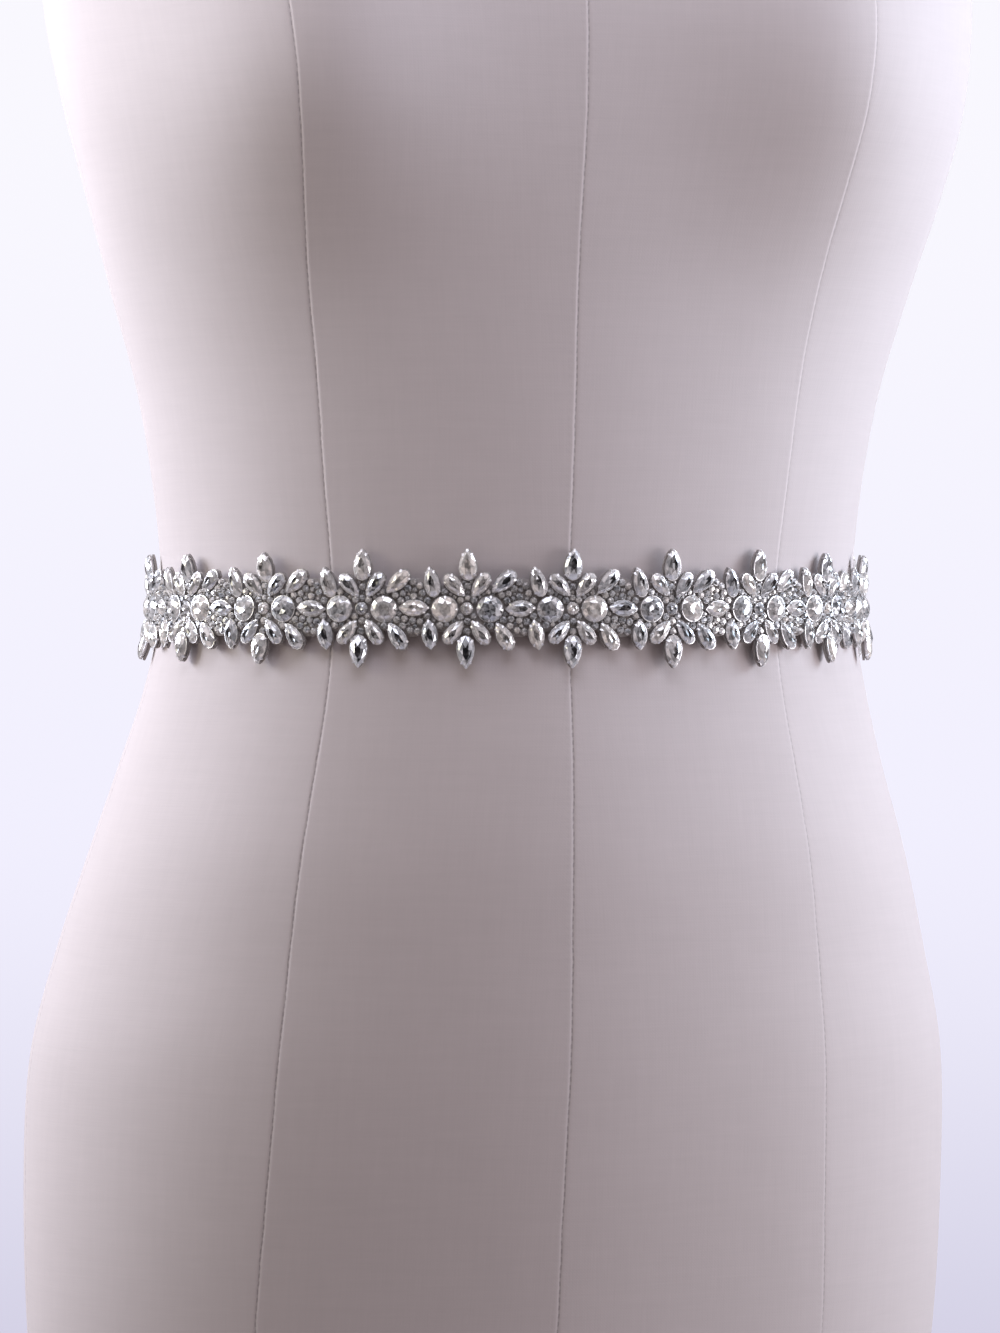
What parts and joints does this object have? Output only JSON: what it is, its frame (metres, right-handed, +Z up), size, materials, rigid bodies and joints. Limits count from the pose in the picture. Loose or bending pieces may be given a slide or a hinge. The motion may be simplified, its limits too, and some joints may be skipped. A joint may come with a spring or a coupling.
{
  "type": "crystal bridal sash on a limbless dress form",
  "caption": "Narrow satin ribbon sash with a repeated flower trim of raised crystal stones, tied round the waist of a smooth limbless dress form with a flat base.",
  "frame": {"origin": "on the flat base of the dress form, at the foot of the upright axis through the middle of its waist", "axes": "+Z up along the form, -Y towards the form's front, +X towards its left side"},
  "size_m": [0.358, 0.2831, 0.808],
  "materials": {
    "form_cover": "matte woven cover, warm grey",
    "satin_ribbon": "ivory satin",
    "crystal": "foil backed clear stones in bright silver coloured settings"
  },
  "bodies": {
    "root": {"dress_form": "form_cover", "ribbon": "satin_ribbon", "knot": "satin_ribbon", "tail_left": "satin_ribbon", "tail_right": "satin_ribbon", "flower_01": "crystal", "flower_02": "crystal", "flower_03": "crystal", "flower_04": "crystal", "flower_05": "crystal", "flower_06": "crystal", "flower_07": "crystal", "flower_08": "crystal", "flower_09": "crystal", "flower_10": "crystal", "flower_11": "crystal", "flower_12": "crystal", "flower_13": "crystal"}
  },
  "joints": []
}
